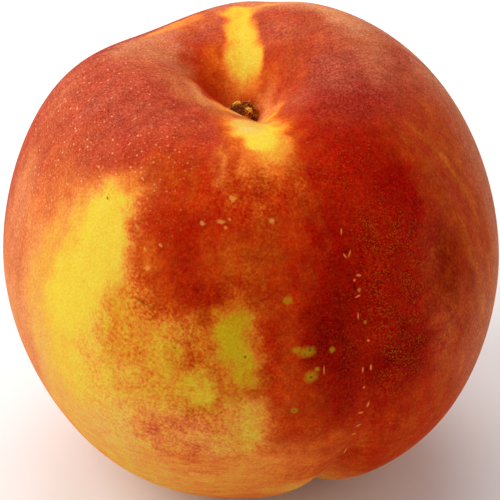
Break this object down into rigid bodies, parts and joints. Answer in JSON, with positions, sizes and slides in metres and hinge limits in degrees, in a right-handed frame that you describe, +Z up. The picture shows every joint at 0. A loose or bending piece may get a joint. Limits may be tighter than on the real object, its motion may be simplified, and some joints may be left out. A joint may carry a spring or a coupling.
{
  "type": "peach",
  "caption": "Whole ripe peach with a stem cavity, a suture down one side, a woody stem scar and a small flat spot to rest on.",
  "frame": {"origin": "bottom centre of the fruit's box, on the surface it stands on", "axes": "+Z up along the core, from the blossom end to the stem cavity; -Y to the front, with the suture at the front right (+X side)"},
  "size_m": [0.074, 0.0738, 0.068],
  "materials": {
    "peach_skin": "velvety skin, red blush over yellow, matte",
    "scar_wood": "dry, rough, dark brown"
  },
  "bodies": {
    "root": {"fruit": "peach_skin", "stem_scar": "scar_wood"}
  },
  "joints": []
}
